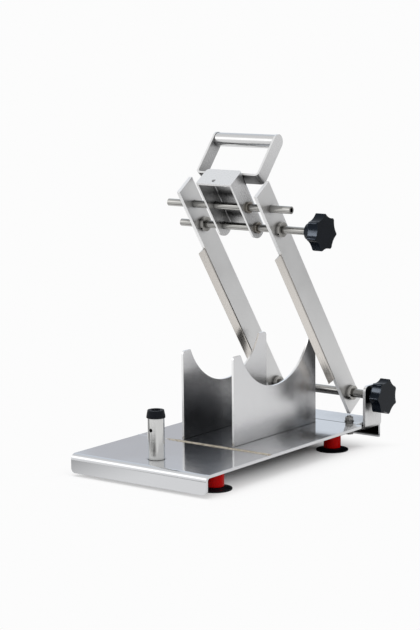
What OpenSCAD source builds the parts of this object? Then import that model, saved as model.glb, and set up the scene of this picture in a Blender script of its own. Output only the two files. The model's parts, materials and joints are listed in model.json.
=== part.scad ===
// Bench slicer with two blade arms on one lever.
// The lever swings on a cross shaft in a yoke behind the base, past the notched cradle,
// and its head closes over a rubber-capped stop post.
// Units are millimetres. +X is the side with the star knobs, +Y the pivot end, +Z up.
// Lever parts are drawn standing up: z runs along the arms from the pivot, y is square to them.

/* [Base sheet] */
// Width of the base sheet
base_w = 220; // [212:1:260]
// Length of the base sheet from the front lip to the rear edge
base_l = 359.5; // [330:0.5:420]
// Thickness of the base, rear plate and yoke sheets
sheet_t = 4; // [3:0.5:5]
// Height of the front lip, measured from the top of the sheet
lip_h = 25; // [16:1:28]
// Outer radius of the bends in the thick sheets
bend_r = 8; // [5.5:0.5:10]
// Radius of the cut corners of the sheets
corner_r = 6; // [2:0.5:10]
// Width of the welded seam across the base
seam_w = 3; // [1.5:0.1:5]
// Height of the welded seam above the base
seam_h = 0.4; // [0.2:0.1:0.8]
// Distance of the seam in front of the cradle
seam_gap = 10; // [5:0.5:20]

/* [Cradle walls] */
// Clear width between the two walls
cradle_gap = 80; // [60:1:96]
// Thickness of a wall
wall_t = 3; // [2:0.5:4]
// Length of a wall
cradle_l = 191; // [180:1:200]
// Height of a wall's horns
cradle_h = 120; // [100:1:130]
// Radius of the round notch in a wall
notch_r = 86; // [75:1:88]
// Height of the lowest point of the notch above the base
notch_floor = 68; // [50:1:80]
// Radius of a wall's top corners
wall_corner_r = 5; // [2:0.5:8]
// Distance from the cradle to the base's rear edge
cradle_rear_gap = 18; // [10:1:30]

/* [Stop post] */
// Diameter of the post
post_d = 22; // [18:0.5:26]
// Height of the post up to its cap
post_h = 54.3; // [45:0.1:56]
// Distance of the post from the front face
post_inset = 40.5; // [36:0.5:48]
// Diameter of the rubber cap at its rim
cap_d = 24.5; // [22:0.5:28]
// Diameter of the cap at its top
cap_top_d = 21.5; // [18:0.5:22]
// Height of the rubber cap
cap_h = 9.9; // [9.1:0.1:14]
// Height of the cap's straight rim
cap_rim_h = 2; // [1:0.5:4]
// Diameter of the hollow in the cap's top
cap_hollow_d = 13; // [8:0.5:15]
// Depth of that hollow
cap_hollow_h = 2.5; // [1:0.5:3]
// Diameter of the post's spigot inside the cap
spigot_d = 14; // [10:0.5:16]
// Length of that spigot
spigot_l = 5.5; // [4:0.5:6]
// Diameter of the cross hole in the post
cross_hole_d = 5; // [3:0.5:8]
// Height of the cross hole above the base
cross_hole_h = 39; // [32:0.5:42]
// Diameter of the screw that holds the post from below
post_screw_d = 8; // [5:0.5:10]
// Length of that screw inside the post
post_screw_l = 16; // [10:1:20]
// Diameter of that screw's head
post_screw_head_d = 14; // [12:0.5:18]
// Height of that screw's head
post_screw_head_h = 5; // [3:0.5:8]

/* [Feet] */
// Height of a foot under the base sheet
foot_h = 25.5; // [24.5:0.5:34]
// Diameter of a foot's body
foot_d = 23.5; // [20:0.5:28]
// Diameter of a suction cup
cup_d = 44; // [36:1:46]
// Thickness of a suction cup up to the foot's body
cup_h = 4; // [3.5:0.25:6]
// Thickness of the cup's rim
cup_rim_h = 1.6; // [1:0.1:2.5]
// Width of the flat ring that touches the table
cup_rim_w = 3; // [2:0.5:5]
// Height of the hollow under a cup
cup_hollow_h = 2.2; // [1:0.2:2.6]
// Diameter of the cup's neck inside the body
neck_d = 10; // [8:0.5:14]
// Length of the cup's neck
neck_l = 7; // [4:0.5:9]
// Diameter of the stud that holds a foot
foot_stud_d = 6; // [5:0.5:8]
// Length of that stud inside the foot
foot_stud_l = 10; // [6:0.5:11]
// Distance of the feet from the base's side edges
foot_inset = 23.5; // [23:0.5:34]
// Distance of the front feet from the front face
front_foot_y = 50; // [46:0.5:70]
// Distance of the rear feet from the base's rear edge
rear_foot_gap = 42; // [41:0.5:70]

/* [Rear plate and yoke] */
// Joint line between the base and the rear plate
plate_joint = 0.5; // [0.2:0.1:1]
// Height of the rear plate's lip
rear_lip_h = 28.5; // [18:0.5:29]
// Clear width between the yoke's ears
yoke_gap = 198; // [192:1:220]
// Distance of the ears behind the base's rear edge
ear_setback = 16; // [14:0.5:18]
// Depth of an ear from front to rear
ear_depth = 41; // [38:0.5:44]
// Height of an ear above the pivot
ear_rise = 15; // [12:0.5:20]
// Radius of an ear's top corners
ear_corner_r = 8; // [4:0.5:12]
// Thickness of the packing between the yoke's strap and the sheets above it
packing_t = 4.5; // [2:0.5:6]
// Width of the yoke's tongue under the base
tongue_w = 180; // [176:1:184]
// Length of the yoke's tongue under the base
tongue_l = 28; // [20:1:29]
// Distance of the yoke's bolts behind the base's rear edge
bolt_setback = 11.5; // [9:0.5:13]
// Distance of the bolts from the ears
bolt_inset = 19.5; // [18:0.5:24]
// Diameter of the bolts
bolt_d = 6; // [4:0.5:6]
// Size of the hexagon nuts and heads across the flats
hex_af = 11; // [8:0.5:12]
// Height of the nuts and bolt heads
hex_h = 5.2; // [3:0.2:6]
// Diameter of the washers
washer_d = 13; // [12.5:0.5:14]
// Thickness of the washers
washer_t = 1.2; // [0.8:0.1:2]
// Bolt end standing above the nut
bolt_end = 1.7; // [0.5:0.1:2.5]

/* [Lever] */
// Lean of the raised arms above the horizontal, in degrees
arm_lean = 55.7; // [45:0.1:75]
// Height of the pivot above the base
pivot_h = 35.6; // [34.5:0.1:42]
// Distance of the pivot behind the base's rear edge
pivot_setback = 34.5; // [30:0.5:38]
// Diameter of the pivot shaft
shaft_d = 12; // [10.5:0.5:14]
// Distance between the arms' mid planes
arm_spacing = 126; // [120:1:132]
// Width of an arm
arm_w = 33; // [28:0.5:33]
// Thickness of an arm
arm_t = 5; // [4:0.5:7]
// Length of an arm below the pivot
arm_tail = 26; // [20:0.5:28]
// Length of an arm above the upper rod
arm_top = 33; // [20:0.5:40]
// Distance between the two cross rods
rod_pitch = 35; // [30:0.5:45]
// Diameter of the cross rods
rod_d = 10; // [8:0.5:12]
// Distance from the upper rod to the post's centre when the lever is down
stop_reach = 20.5; // [19.5:0.5:24]
// Length of the upper rod outside the left arm
upper_rod_left = 38; // [30:0.5:46]
// Length of the upper rod outside the right arm
upper_rod_right = 32; // [24:0.5:44]
// Length of the lower rod outside the left arm
lower_rod_left = 32; // [28:0.5:46]
// Bare length of the lower rod between the right arm and its knob
lower_rod_right = 45; // [40:0.5:54]
// Diameter of the tapped hole in each end of the upper rod
rod_bore_d = 6; // [4:0.5:7]
// Depth of that hole
rod_bore_l = 12; // [8:0.5:16]

/* [Blades and collars] */
// Distance of the blades from the pivot
blade_start = 44; // [38:0.5:60]
// Distance of the blades from the lower rod
blade_rod_gap = 28; // [16:0.5:60]
// Rake of the blade's ends: how much lower they meet the arm than the edge
blade_rake = 4; // [0:0.5:6]
// Thickness of a blade
blade_t = 3; // [2:0.1:3.4]
// Depth of the blade's seat in the arm
blade_seat = 6; // [4:0.5:8]
// Width of the blade outside the arm
blade_out = 13.5; // [12:0.5:16]
// Width of the ground bevel
bevel_w = 11; // [6:0.5:11.5]
// Thickness left at the cutting edge
edge_t = 0.2; // [0.1:0.1:0.4]
// Diameter of the welded boss round the pivot
boss_d = 21; // [18:0.5:24]
// Length of that boss
boss_l = 1.5; // [1:0.5:6]
// Diameter of the set collars
collar_d = 20; // [18:0.5:24]
// Length of the set collars on the pivot shaft
pivot_collar_l = 5.5; // [5:0.5:9]
// Length of the set collars on the lower rod
rod_collar_l = 5.5; // [5:0.5:10]
// Diameter of the set screws
set_screw_d = 3; // [2.5:0.5:4]
// Depth of the set screws below the collar's surface
set_screw_sunk = 0.4; // [0.2:0.1:0.8]

/* [Head and handle] */
// Outer width of the head
head_w = 57; // [50:0.5:64]
// Width of the head's flanges
head_depth = 30; // [26:0.5:34]
// Offset of the flanges from the rods, away from the blades
head_shift = 1.5; // [0:0.5:3]
// Thickness of the head's sheet
head_t = 3; // [2:0.5:4]
// Outer radius of the head's bends
head_bend_r = 4.5; // [4.2:0.1:7]
// Height of the head above the upper rod
head_top = 48.5; // [44:0.5:56]
// Diameter of the hole in the head's top
head_hole_d = 5; // [3:0.5:8]
// Sideways place of that hole
head_hole_x = -3.5; // [-10:0.5:10]
// Distance of that hole from the head's open edge
head_hole_inset = 7; // [6:0.5:12]
// Width of the joint groove in the head's back
head_groove_w = 0.8; // [0.4:0.1:1.5]
// Depth of the joint groove in the head's back
head_groove_h = 0.5; // [0.2:0.1:1]
// Diameter of the bushes outside the head
head_bush_d = 15; // [13:0.5:18]
// Length of the bushes outside the head
head_bush_l = 3; // [2:0.5:5]
// Outer width of the handle
handle_w = 102; // [100:0.5:120]
// Width of the handle's flat bar
bar_w = 20; // [18:0.5:24]
// Thickness of the handle's flat bar
bar_t = 3; // [2:0.5:4]
// Outer radius of the handle's bends
handle_bend_r = 6; // [4.5:0.5:10]
// Distance from the handle's foot to the grip's axis
handle_reach = 62; // [55:0.5:80]
// Tilt of the handle towards the lever's end, in degrees
handle_tilt = 16; // [8:0.5:22]
// Distance of the handle's front edge from the head's top
handle_drop = 7.5; // [4:0.5:14]
// Length of the weld between the handle and the head
weld_l = 8; // [4:0.5:12]
// Diameter of the grip tube
grip_d = 18.6; // [15:0.2:20]
// Wall of the grip tube
grip_wall = 2; // [1:0.5:3]

/* [Star knobs] */
// Diameter over the lobes
knob_d = 50; // [42:0.5:54]
// Number of lobes
knob_lobes = 7; // [5:1:8]
// Radius of a lobe's tip
lobe_r = 2; // [1.5:0.25:3]
// Distance of the hollows' centres outside the star
hollow_out = 20; // [14:0.5:30]
// Length of the star
star_l = 14.5; // [12:0.5:20]
// Radius of the star's edges
star_edge_r = 1.5; // [1:0.5:3]
// Diameter of the hub at its end
hub_d = 22; // [18:0.5:26]
// Diameter of the hub where it meets the star
hub_root_d = 32; // [26:0.5:38]
// Length of the shaft knob's hub
hub_l = 9.5; // [7:0.5:14]
// Length of the rod knob's hub
rod_hub_l = 13; // [9:0.5:16]
// Turn at which the rod's knob was left, in degrees
rod_knob_turn = 7.5; // [-25:0.5:25]
// Turn at which the shaft's knob was left, in degrees
pivot_knob_turn = 24.5; // [-25:0.5:25]
// Diameter of the metal insert
insert_d = 15; // [14:0.5:16]
// Length of the metal insert
insert_l = 18; // [14:0.5:19]
// Length of the threaded end inside the insert
thread_l = 16; // [10:0.5:17.5]

/* [Bushes and fits] */
// Outer diameter of the bushes in the ears
ear_bush_d = 17; // [16.5:0.5:20]
// Length of an ear bush inside the ear
ear_bush_in = 2; // [1:0.5:4]
// Diameter of the shaft's head outside the left ear
shaft_head_d = 19; // [17:0.5:24]
// Thickness of the shaft's head
shaft_head_l = 4; // [2:0.5:5]
// Radial clearance of a running fit
run_fit = 0.05; // [0.02:0.01:0.1]
// Radial clearance of a pressed or glued fit
press_fit = 0.02; // [0.01:0.01:0.05]
// End clearance beside a turning piece
end_play = 0.3; // [0.1:0.1:0.6]

/* [Hidden] */
$fn = 64;
// Overlap of a cutting tool past the face that it cuts
past = 1;
// Heights and places on the base
base_top = foot_h + sheet_t;
cradle_y = base_l - cradle_rear_gap - cradle_l;
seam_y = cradle_y - seam_gap;
// Radius of the round bead whose top shows as the seam
seam_r = (pow(seam_w / 2, 2) + pow(seam_h, 2)) / (2 * seam_h);
foot_x = base_w / 2 - foot_inset;
rear_foot_y = base_l - rear_foot_gap;
foot_body_h = foot_h - cup_h;
// Places of the rear plate and the yoke
rear_plate_w = yoke_gap - 2 * plate_joint;
ear_y = base_l + ear_setback;
ear_x = yoke_gap / 2 + sheet_t;
rear_y = ear_y + ear_depth + plate_joint + sheet_t;
strap_end = rear_y - bend_r - plate_joint;
strap_z = -2 * sheet_t - packing_t;
bolt_y = base_l + bolt_setback;
bolt_x = yoke_gap / 2 - bolt_inset;
// Places along the lever
pivot_y = base_l + pivot_setback;
upper_rod = pivot_y - post_inset - stop_reach;
lower_rod = upper_rod - rod_pitch;
arm_end = upper_rod + arm_top;
arm_x = arm_spacing / 2;
blade_end = lower_rod - blade_rod_gap;
blade_edge = -arm_w / 2 - blade_out;
blade_back = -arm_w / 2 + blade_seat;
head_back = head_shift + head_depth / 2;
head_end = upper_rod + head_top;
handle_foot = head_end - handle_drop;
rod_knob_x = arm_x + arm_t / 2 + lower_rod_right;
pivot_knob_x = ear_x + end_play;
// Star outline: lobe circles joined by hollows that run into them
lobe_ring = knob_d / 2 - lobe_r;
hollow_ring = knob_d / 2 + hollow_out;
lobe_half = 180 / knob_lobes;
lobe_to_hollow = sqrt(pow(lobe_ring, 2) + pow(hollow_ring, 2)
    - 2 * lobe_ring * hollow_ring * cos(lobe_half));
// Overlap of a hollow with the lobes beside it
hollow_blend = 0.1;
hollow_r = lobe_to_hollow - lobe_r + hollow_blend;
// Share of a lobe's tip that the star's core already covers
core_reach = 0.7;
star_core_r = lobe_ring + lobe_r * core_reach;
// Origin under the middle of the whole part
right_end = max(rod_knob_x + rod_hub_l, pivot_knob_x + hub_l) + star_l;
left_end = max(base_w / 2, ear_x + end_play + shaft_head_l, arm_x + arm_t / 2 + upper_rod_left);
tail_end = pivot_y + arm_tail * cos(arm_lean) + arm_w / 2 * sin(arm_lean);
rear_end = max(rear_y, pivot_y + knob_d / 2, tail_end);
middle_x = (right_end - left_end) / 2;
middle_y = rear_end / 2;

// Shared places

module on_table() {
    translate([-middle_x, -middle_y, 0]) children();
}

module on_base() {
    on_table() translate([0, 0, base_top]) children();
}

module on_pivot() {
    on_base() translate([0, pivot_y, pivot_h]) children();
}

module on_lever() {
    on_pivot() rotate([90 - arm_lean, 0, 0]) children();
}

module at_lower_rod() {
    translate([0, 0, lower_rod]) children();
}

module at_both_rods() {
    for (z = [lower_rod, upper_rod]) translate([0, 0, z]) children();
}

module at_bolts() {
    for (side = [-1, 1]) translate([side * bolt_x, bolt_y, 0]) children();
}

module at_foot(side, y) {
    on_table() translate([side * foot_x, y, 0]) children();
}

module at_grip() {
    translate([0, head_back, handle_foot])
        rotate([handle_tilt, 0, 0])
            translate([0, handle_reach, -bar_w / 2]) children();
}

// Shared shapes

module bar_x(d, x0, x1) {
    translate([x0, 0, 0]) rotate([0, 90, 0]) cylinder(d = d, h = x1 - x0);
}

module ring_x(d, bore, x0, x1) {
    difference() {
        bar_x(d, x0, x1);
        bar_x(bore, x0 - past, x1 + past);
    }
}

// Extrudes an outline drawn in the Y and Z directions along X
module along_x(x0, x1) {
    translate([x0, 0, 0]) rotate([90, 0, 90]) linear_extrude(x1 - x0) children();
}

// Rectangle with its two upper corners rounded
module round_top(w, h, r) {
    square([w, h - r]);
    translate([r, 0]) square([w - 2 * r, h]);
    for (x = [r, w - r]) translate([x, h - r]) circle(r);
}

// Side view of a sheet with one edge bent down
module lipped_sheet(run, drop, t, r) {
    translate([r, -t]) square([run - r, t]);
    translate([0, -drop]) square([t, drop - r]);
    translate([r, -r]) intersection() {
        difference() {
            circle(r);
            circle(r - t);
        }
        translate([-r, 0]) square(r);
    }
}

// Sheet bent into a U that is open upwards
module channel(w, h, t, r) {
    difference() {
        translate([w / 2, h]) rotate(180) round_top(w, h, r);
        translate([w / 2 - t, h + past]) rotate(180) round_top(w - 2 * t, h + past - t, r - t);
    }
}

// Disc with both edges rounded
module soft_disc(d, h, r) {
    rotate_extrude() {
        square([d / 2 - r, h]);
        translate([0, r]) square([d / 2, h - 2 * r]);
        for (y = [r, h - r]) translate([d / 2 - r, y]) circle(r);
    }
}

module hexagon(h) {
    cylinder(d = hex_af / cos(30), h = h, $fn = 6);
}

// Base and cradle

module base_plate() {
    color("silver") on_base() difference() {
        union() {
            intersection() {
                along_x(-base_w / 2, base_w / 2) lipped_sheet(base_l, lip_h, sheet_t, bend_r);
                translate([-base_w / 2, 0, -base_top])
                    linear_extrude(2 * base_top) round_top(base_w, base_l, corner_r);
                rotate([90, 0, 0]) translate([base_w / 2, 0, -base_l - past])
                    linear_extrude(base_l + 2 * past) rotate(180) round_top(base_w, lip_h, corner_r);
            }
            translate([0, seam_y, seam_h - seam_r]) intersection() {
                bar_x(2 * seam_r, -base_w / 2, base_w / 2);
                translate([0, 0, seam_r]) cube([base_w, seam_w * 2, seam_h * 4], center = true);
            }
        }
        translate([0, post_inset, -sheet_t - past])
            cylinder(r = post_screw_d / 2 + run_fit, h = sheet_t + 2 * past);
    }
}

module cradle_wall(inner_x) {
    on_base() along_x(inner_x, inner_x + wall_t) translate([cradle_y, 0]) difference() {
        round_top(cradle_l, cradle_h, wall_corner_r);
        translate([cradle_l / 2, notch_floor + notch_r]) circle(notch_r);
    }
}

module left_cradle_wall() {
    color("lightsteelblue") cradle_wall(-cradle_gap / 2 - wall_t);
}

module right_cradle_wall() {
    color("lightsteelblue") cradle_wall(cradle_gap / 2);
}

// Stop post

module stop_post() {
    color("silver") on_base() translate([0, post_inset, 0]) difference() {
        union() {
            cylinder(d = post_d, h = post_h);
            cylinder(d = spigot_d, h = post_h + spigot_l);
        }
        translate([0, 0, -past])
            cylinder(r = post_screw_d / 2 + press_fit, h = post_screw_l + past);
        translate([0, 0, cross_hole_h]) rotate([90, 0, 0])
            cylinder(d = cross_hole_d, h = post_d + 2 * past, center = true);
    }
}

module stop_post_cap() {
    color("dimgray") on_base() translate([0, post_inset, post_h]) difference() {
        union() {
            cylinder(d = cap_d, h = cap_rim_h);
            translate([0, 0, cap_rim_h])
                cylinder(d1 = cap_d, d2 = cap_top_d, h = cap_h - cap_rim_h);
        }
        translate([0, 0, cap_h - cap_hollow_h]) cylinder(d = cap_hollow_d, h = cap_hollow_h + past);
        translate([0, 0, -past])
            cylinder(r = spigot_d / 2 + press_fit, h = spigot_l + press_fit + past);
    }
}

module stop_post_screw() {
    color("gray") on_base() translate([0, post_inset, -sheet_t]) {
        cylinder(d = post_screw_d, h = sheet_t + post_screw_l - press_fit);
        translate([0, 0, -post_screw_head_h]) cylinder(d = post_screw_head_d, h = post_screw_head_h);
    }
}

// Feet

module foot(side, y) {
    color("crimson") at_foot(side, y) translate([0, 0, cup_h]) difference() {
        soft_disc(foot_d, foot_body_h, 1);
        translate([0, 0, -past])
            cylinder(r = neck_d / 2 + press_fit, h = neck_l + press_fit + past);
        translate([0, 0, foot_body_h - foot_stud_l - press_fit])
            cylinder(r = foot_stud_d / 2 + press_fit, h = foot_stud_l + press_fit + past);
    }
}

module suction_cup(side, y) {
    color("black") at_foot(side, y) rotate_extrude() polygon([
        [cup_d / 2 - cup_rim_w, 0],
        [cup_d / 2, 0],
        [cup_d / 2, cup_rim_h],
        [foot_d / 2, cup_h],
        [neck_d / 2, cup_h],
        [neck_d / 2, cup_h + neck_l],
        [0, cup_h + neck_l],
        [0, cup_hollow_h],
        [neck_d / 2, cup_hollow_h]
    ]);
}

module front_left_foot() {
    foot(-1, front_foot_y);
}

module front_right_foot() {
    foot(1, front_foot_y);
}

module rear_left_foot() {
    foot(-1, rear_foot_y);
}

module rear_right_foot() {
    foot(1, rear_foot_y);
}

module front_left_suction_cup() {
    suction_cup(-1, front_foot_y);
}

module front_right_suction_cup() {
    suction_cup(1, front_foot_y);
}

module rear_left_suction_cup() {
    suction_cup(-1, rear_foot_y);
}

module rear_right_suction_cup() {
    suction_cup(1, rear_foot_y);
}

module foot_studs() {
    color("gray")
        for (side = [-1, 1], y = [front_foot_y, rear_foot_y])
            at_foot(side, y) translate([0, 0, foot_h - foot_stud_l])
                cylinder(d = foot_stud_d, h = foot_stud_l);
}

// Rear plate and yoke

module rear_plate() {
    color("silver") on_base() difference() {
        translate([0, rear_y, 0]) mirror([0, 1, 0])
            along_x(-rear_plate_w / 2, rear_plate_w / 2)
                lipped_sheet(rear_y - base_l - plate_joint, rear_lip_h, sheet_t, bend_r);
        at_bolts() translate([0, 0, -sheet_t - past])
            cylinder(r = bolt_d / 2 + run_fit, h = sheet_t + 2 * past);
    }
}

module pivot_yoke() {
    ear_h = pivot_h + ear_rise - strap_z;
    color("silver") on_base() difference() {
        translate([0, 0, strap_z]) {
            intersection() {
                translate([0, ear_y + ear_depth, 0]) rotate([90, 0, 0])
                    linear_extrude(ear_depth) channel(2 * ear_x, ear_h, sheet_t, bend_r);
                along_x(-ear_x, ear_x)
                    translate([ear_y, 0]) round_top(ear_depth, ear_h, ear_corner_r);
            }
            translate([-tongue_w / 2, base_l - tongue_l, 0])
                cube([tongue_w, strap_end - base_l + tongue_l, sheet_t + packing_t]);
        }
        translate([-yoke_gap / 2, strap_end, strap_z - past])
            cube([yoke_gap, ear_depth, sheet_t + 2 * past]);
        at_bolts() translate([0, 0, strap_z - past])
            cylinder(r = bolt_d / 2 + run_fit, h = sheet_t + packing_t + 2 * past);
        translate([0, pivot_y, pivot_h])
            bar_x(ear_bush_d + 2 * press_fit, -ear_x - past, ear_x + past);
    }
}

module yoke_bolts() {
    shank = washer_t + hex_h + bolt_end - strap_z;
    color("gray") on_base() at_bolts() translate([0, 0, strap_z]) {
        cylinder(d = bolt_d, h = shank);
        translate([0, 0, -hex_h]) hexagon(hex_h);
    }
}

module yoke_washers() {
    color("lightgray") on_base() at_bolts() difference() {
        cylinder(d = washer_d, h = washer_t);
        translate([0, 0, -past])
            cylinder(r = bolt_d / 2 + run_fit, h = washer_t + 2 * past);
    }
}

module yoke_nuts() {
    color("gray") on_base() at_bolts() translate([0, 0, washer_t]) difference() {
        hexagon(hex_h);
        translate([0, 0, -past]) cylinder(r = bolt_d / 2 + press_fit, h = hex_h + 2 * past);
    }
}

module ear_bush(side) {
    inner = side * (yoke_gap / 2 - ear_bush_in);
    outer = side * ear_x;
    color("darkgoldenrod") on_pivot()
        ring_x(ear_bush_d, shaft_d + 2 * run_fit, min(inner, outer), max(inner, outer));
}

module left_ear_bush() {
    ear_bush(-1);
}

module right_ear_bush() {
    ear_bush(1);
}

// Lever frame

module pivot_shaft() {
    head_x = -ear_x - end_play;
    color("silver") on_pivot() {
        bar_x(shaft_d, head_x, ear_x);
        bar_x(rod_d, ear_x, pivot_knob_x + thread_l);
        bar_x(shaft_head_d, head_x - shaft_head_l, head_x);
    }
}

module upper_cross_rod() {
    left = -arm_x - arm_t / 2 - upper_rod_left;
    right = arm_x + arm_t / 2 + upper_rod_right;
    color("silver") on_lever() translate([0, 0, upper_rod]) difference() {
        bar_x(rod_d, left, right);
        bar_x(rod_bore_d, left - past, left + rod_bore_l);
        bar_x(rod_bore_d, right - rod_bore_l, right + past);
    }
}

module lower_cross_rod() {
    color("silver") on_lever() at_lower_rod()
        bar_x(rod_d, -arm_x - arm_t / 2 - lower_rod_left, rod_knob_x + thread_l);
}

// Side outline of the head: straight flanges with a round lower end
module head_outline() {
    translate([head_shift - head_depth / 2, lower_rod])
        square([head_depth, head_end - lower_rod]);
    translate([head_shift, lower_rod]) circle(head_depth / 2);
}

module head_bracket() {
    color("silver") on_lever() difference() {
        union() {
            intersection() {
                translate([0, head_back, lower_rod - head_depth])
                    linear_extrude(head_end - lower_rod + head_depth)
                        mirror([0, 1]) channel(head_w, head_depth, head_t, head_bend_r);
                along_x(-head_w / 2, head_w / 2) head_outline();
            }
            translate([0, head_back - head_depth, head_end - head_t])
                linear_extrude(head_t) translate([-head_w / 2, 0])
                    round_top(head_w, head_depth, head_bend_r);
        }
        at_both_rods() bar_x(rod_d + 2 * run_fit, -head_w, head_w);
        translate([head_hole_x, head_back - head_depth + head_hole_inset, head_end - head_t - past])
            cylinder(d = head_hole_d, h = head_t + 2 * past);
        translate([-head_groove_w / 2, head_back - head_t - past, lower_rod - head_depth])
            cube([head_groove_w, head_groove_h + past, head_end - lower_rod + head_depth - head_t]);
    }
}

module head_bushes() {
    color("dimgray") on_lever() at_both_rods()
        for (x = [-head_w / 2 - head_bush_l, head_w / 2])
            ring_x(head_bush_d, rod_d + 2 * press_fit, x, x + head_bush_l);
}

module handle_frame() {
    color("silver") on_lever() {
        translate([0, head_back, handle_foot]) rotate([handle_tilt, 0, 0]) intersection() {
            translate([0, 0, -bar_w])
                linear_extrude(bar_w) channel(handle_w, handle_reach + bar_w, bar_t, handle_bend_r);
            along_x(-handle_w / 2, handle_w / 2) {
                translate([0, -bar_w]) square([handle_reach, bar_w]);
                translate([handle_reach, -bar_w / 2]) circle(d = bar_w);
            }
        }
        along_x(head_bend_r - head_w / 2, head_w / 2 - head_bend_r)
            translate([head_back, handle_foot]) polygon([
                [0, 0],
                [weld_l * tan(handle_tilt), -weld_l],
                [0, -weld_l]
            ]);
    }
}

module handle_grip() {
    half = handle_w / 2 - bar_t;
    color("gainsboro") on_lever() at_grip()
        ring_x(grip_d, grip_d - 2 * grip_wall, -half, half);
}

// Blade arms

// Side outline of a blade, with room round it for its seat
module blade_side(gap) {
    polygon([
        [blade_edge - gap, blade_start - gap],
        [blade_edge - gap, blade_end + gap],
        [blade_back + gap, blade_end - blade_rake + gap],
        [blade_back + gap, blade_start - blade_rake - gap]
    ]);
}

module arm(x) {
    color("silver") on_lever() difference() {
        translate([x - arm_t / 2, -arm_w / 2, -arm_tail]) cube([arm_t, arm_w, arm_tail + arm_end]);
        bar_x(shaft_d + 2 * run_fit, x - arm_t, x + arm_t);
        at_both_rods() bar_x(rod_d + 2 * run_fit, x - arm_t, x + arm_t);
        along_x(x - blade_t / 2 - press_fit, x + blade_t / 2 + press_fit) blade_side(press_fit);
    }
}

module blade(x) {
    color("whitesmoke") on_lever() intersection() {
        along_x(x - blade_t, x + blade_t) blade_side(0);
        translate([x, 0, 0]) linear_extrude(blade_end + past) polygon([
            [-blade_t / 2, blade_back + past],
            [-blade_t / 2, blade_edge + bevel_w],
            [-edge_t / 2, blade_edge],
            [edge_t / 2, blade_edge],
            [blade_t / 2, blade_edge + bevel_w],
            [blade_t / 2, blade_back + past]
        ]);
    }
}

module set_screw_bore(r_from, r_to, r) {
    rotate([90, 0, 0]) translate([0, 0, r_from]) cylinder(r = r, h = r_to - r_from);
}

module set_collar(bore, x0, l) {
    difference() {
        ring_x(collar_d, bore + 2 * run_fit, x0, x0 + l);
        translate([x0 + l / 2, 0, 0])
            set_screw_bore(0, collar_d, set_screw_d / 2 + press_fit);
    }
}

module set_screw(rod, x0, l) {
    translate([x0 + l / 2, 0, 0])
        set_screw_bore(rod / 2 + 2 * run_fit, collar_d / 2 - set_screw_sunk, set_screw_d / 2);
}

module pivot_boss(x) {
    x0 = x + arm_t / 2;
    color("lightgray") on_lever() ring_x(boss_d, shaft_d + 2 * run_fit, x0, x0 + boss_l);
}

module pivot_collar(x) {
    color("gainsboro") on_lever()
        set_collar(shaft_d, x + arm_t / 2 + boss_l, pivot_collar_l);
}

module rod_collar(x) {
    color("gainsboro") on_lever() at_lower_rod()
        set_collar(rod_d, x + arm_t / 2, rod_collar_l);
}

module set_screws(x) {
    color("dimgray") on_lever() {
        set_screw(shaft_d, x + arm_t / 2 + boss_l, pivot_collar_l);
        at_lower_rod() set_screw(rod_d, x + arm_t / 2, rod_collar_l);
    }
}

module left_arm() {
    arm(-arm_x);
}

module left_blade() {
    blade(-arm_x);
}

module left_pivot_boss() {
    pivot_boss(-arm_x);
}

module left_pivot_collar() {
    pivot_collar(-arm_x);
}

module left_rod_collar() {
    rod_collar(-arm_x);
}

module left_set_screws() {
    set_screws(-arm_x);
}

module right_arm() {
    arm(arm_x);
}

module right_blade() {
    blade(arm_x);
}

module right_pivot_boss() {
    pivot_boss(arm_x);
}

module right_pivot_collar() {
    pivot_collar(arm_x);
}

module right_rod_collar() {
    rod_collar(arm_x);
}

module right_set_screws() {
    set_screws(arm_x);
}

// Star knobs

module star_outline() {
    difference() {
        circle(star_core_r);
        for (i = [0 : knob_lobes - 1])
            rotate((2 * i + 1) * lobe_half) translate([hollow_ring, 0]) circle(hollow_r);
    }
    for (i = [0 : knob_lobes - 1])
        rotate(2 * i * lobe_half) translate([lobe_ring, 0]) circle(lobe_r);
}

// Knob along +X with its hub at the origin
module star_knob(turn, hub) {
    rotate([turn, 0, 0]) rotate([0, 90, 0]) difference() {
        union() {
            translate([0, 0, hub]) intersection() {
                linear_extrude(star_l) rotate(90) star_outline();
                soft_disc(knob_d, star_l, star_edge_r);
            }
            cylinder(d1 = hub_d, d2 = hub_root_d, h = hub);
        }
        translate([0, 0, -past])
            cylinder(r = insert_d / 2 + press_fit, h = insert_l + press_fit + past);
    }
}

module knob_insert() {
    ring_x(insert_d, rod_d + 2 * run_fit, 0, insert_l);
}

module rod_knob() {
    color("black") on_lever() translate([rod_knob_x, 0, lower_rod])
        star_knob(rod_knob_turn, rod_hub_l);
}

module rod_knob_insert() {
    color("goldenrod") on_lever() translate([rod_knob_x, 0, lower_rod]) knob_insert();
}

module pivot_knob() {
    color("black") on_pivot() translate([pivot_knob_x, 0, 0])
        star_knob(pivot_knob_turn, hub_l);
}

module pivot_knob_insert() {
    color("goldenrod") on_pivot() translate([pivot_knob_x, 0, 0]) knob_insert();
}

base_plate();
left_cradle_wall();
right_cradle_wall();
stop_post();
stop_post_cap();
stop_post_screw();
front_left_foot();
front_right_foot();
rear_left_foot();
rear_right_foot();
front_left_suction_cup();
front_right_suction_cup();
rear_left_suction_cup();
rear_right_suction_cup();
foot_studs();
rear_plate();
pivot_yoke();
yoke_bolts();
yoke_washers();
yoke_nuts();
left_ear_bush();
right_ear_bush();
pivot_shaft();
upper_cross_rod();
lower_cross_rod();
head_bracket();
head_bushes();
handle_frame();
handle_grip();
left_arm();
left_blade();
left_pivot_boss();
left_pivot_collar();
left_rod_collar();
left_set_screws();
right_arm();
right_blade();
right_pivot_boss();
right_pivot_collar();
right_rod_collar();
right_set_screws();
rod_knob();
rod_knob_insert();
pivot_knob();
pivot_knob_insert();
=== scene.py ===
"""Looks of a bench lever slicer: finishes, small hardware, weld seam, studio and camera."""

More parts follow.
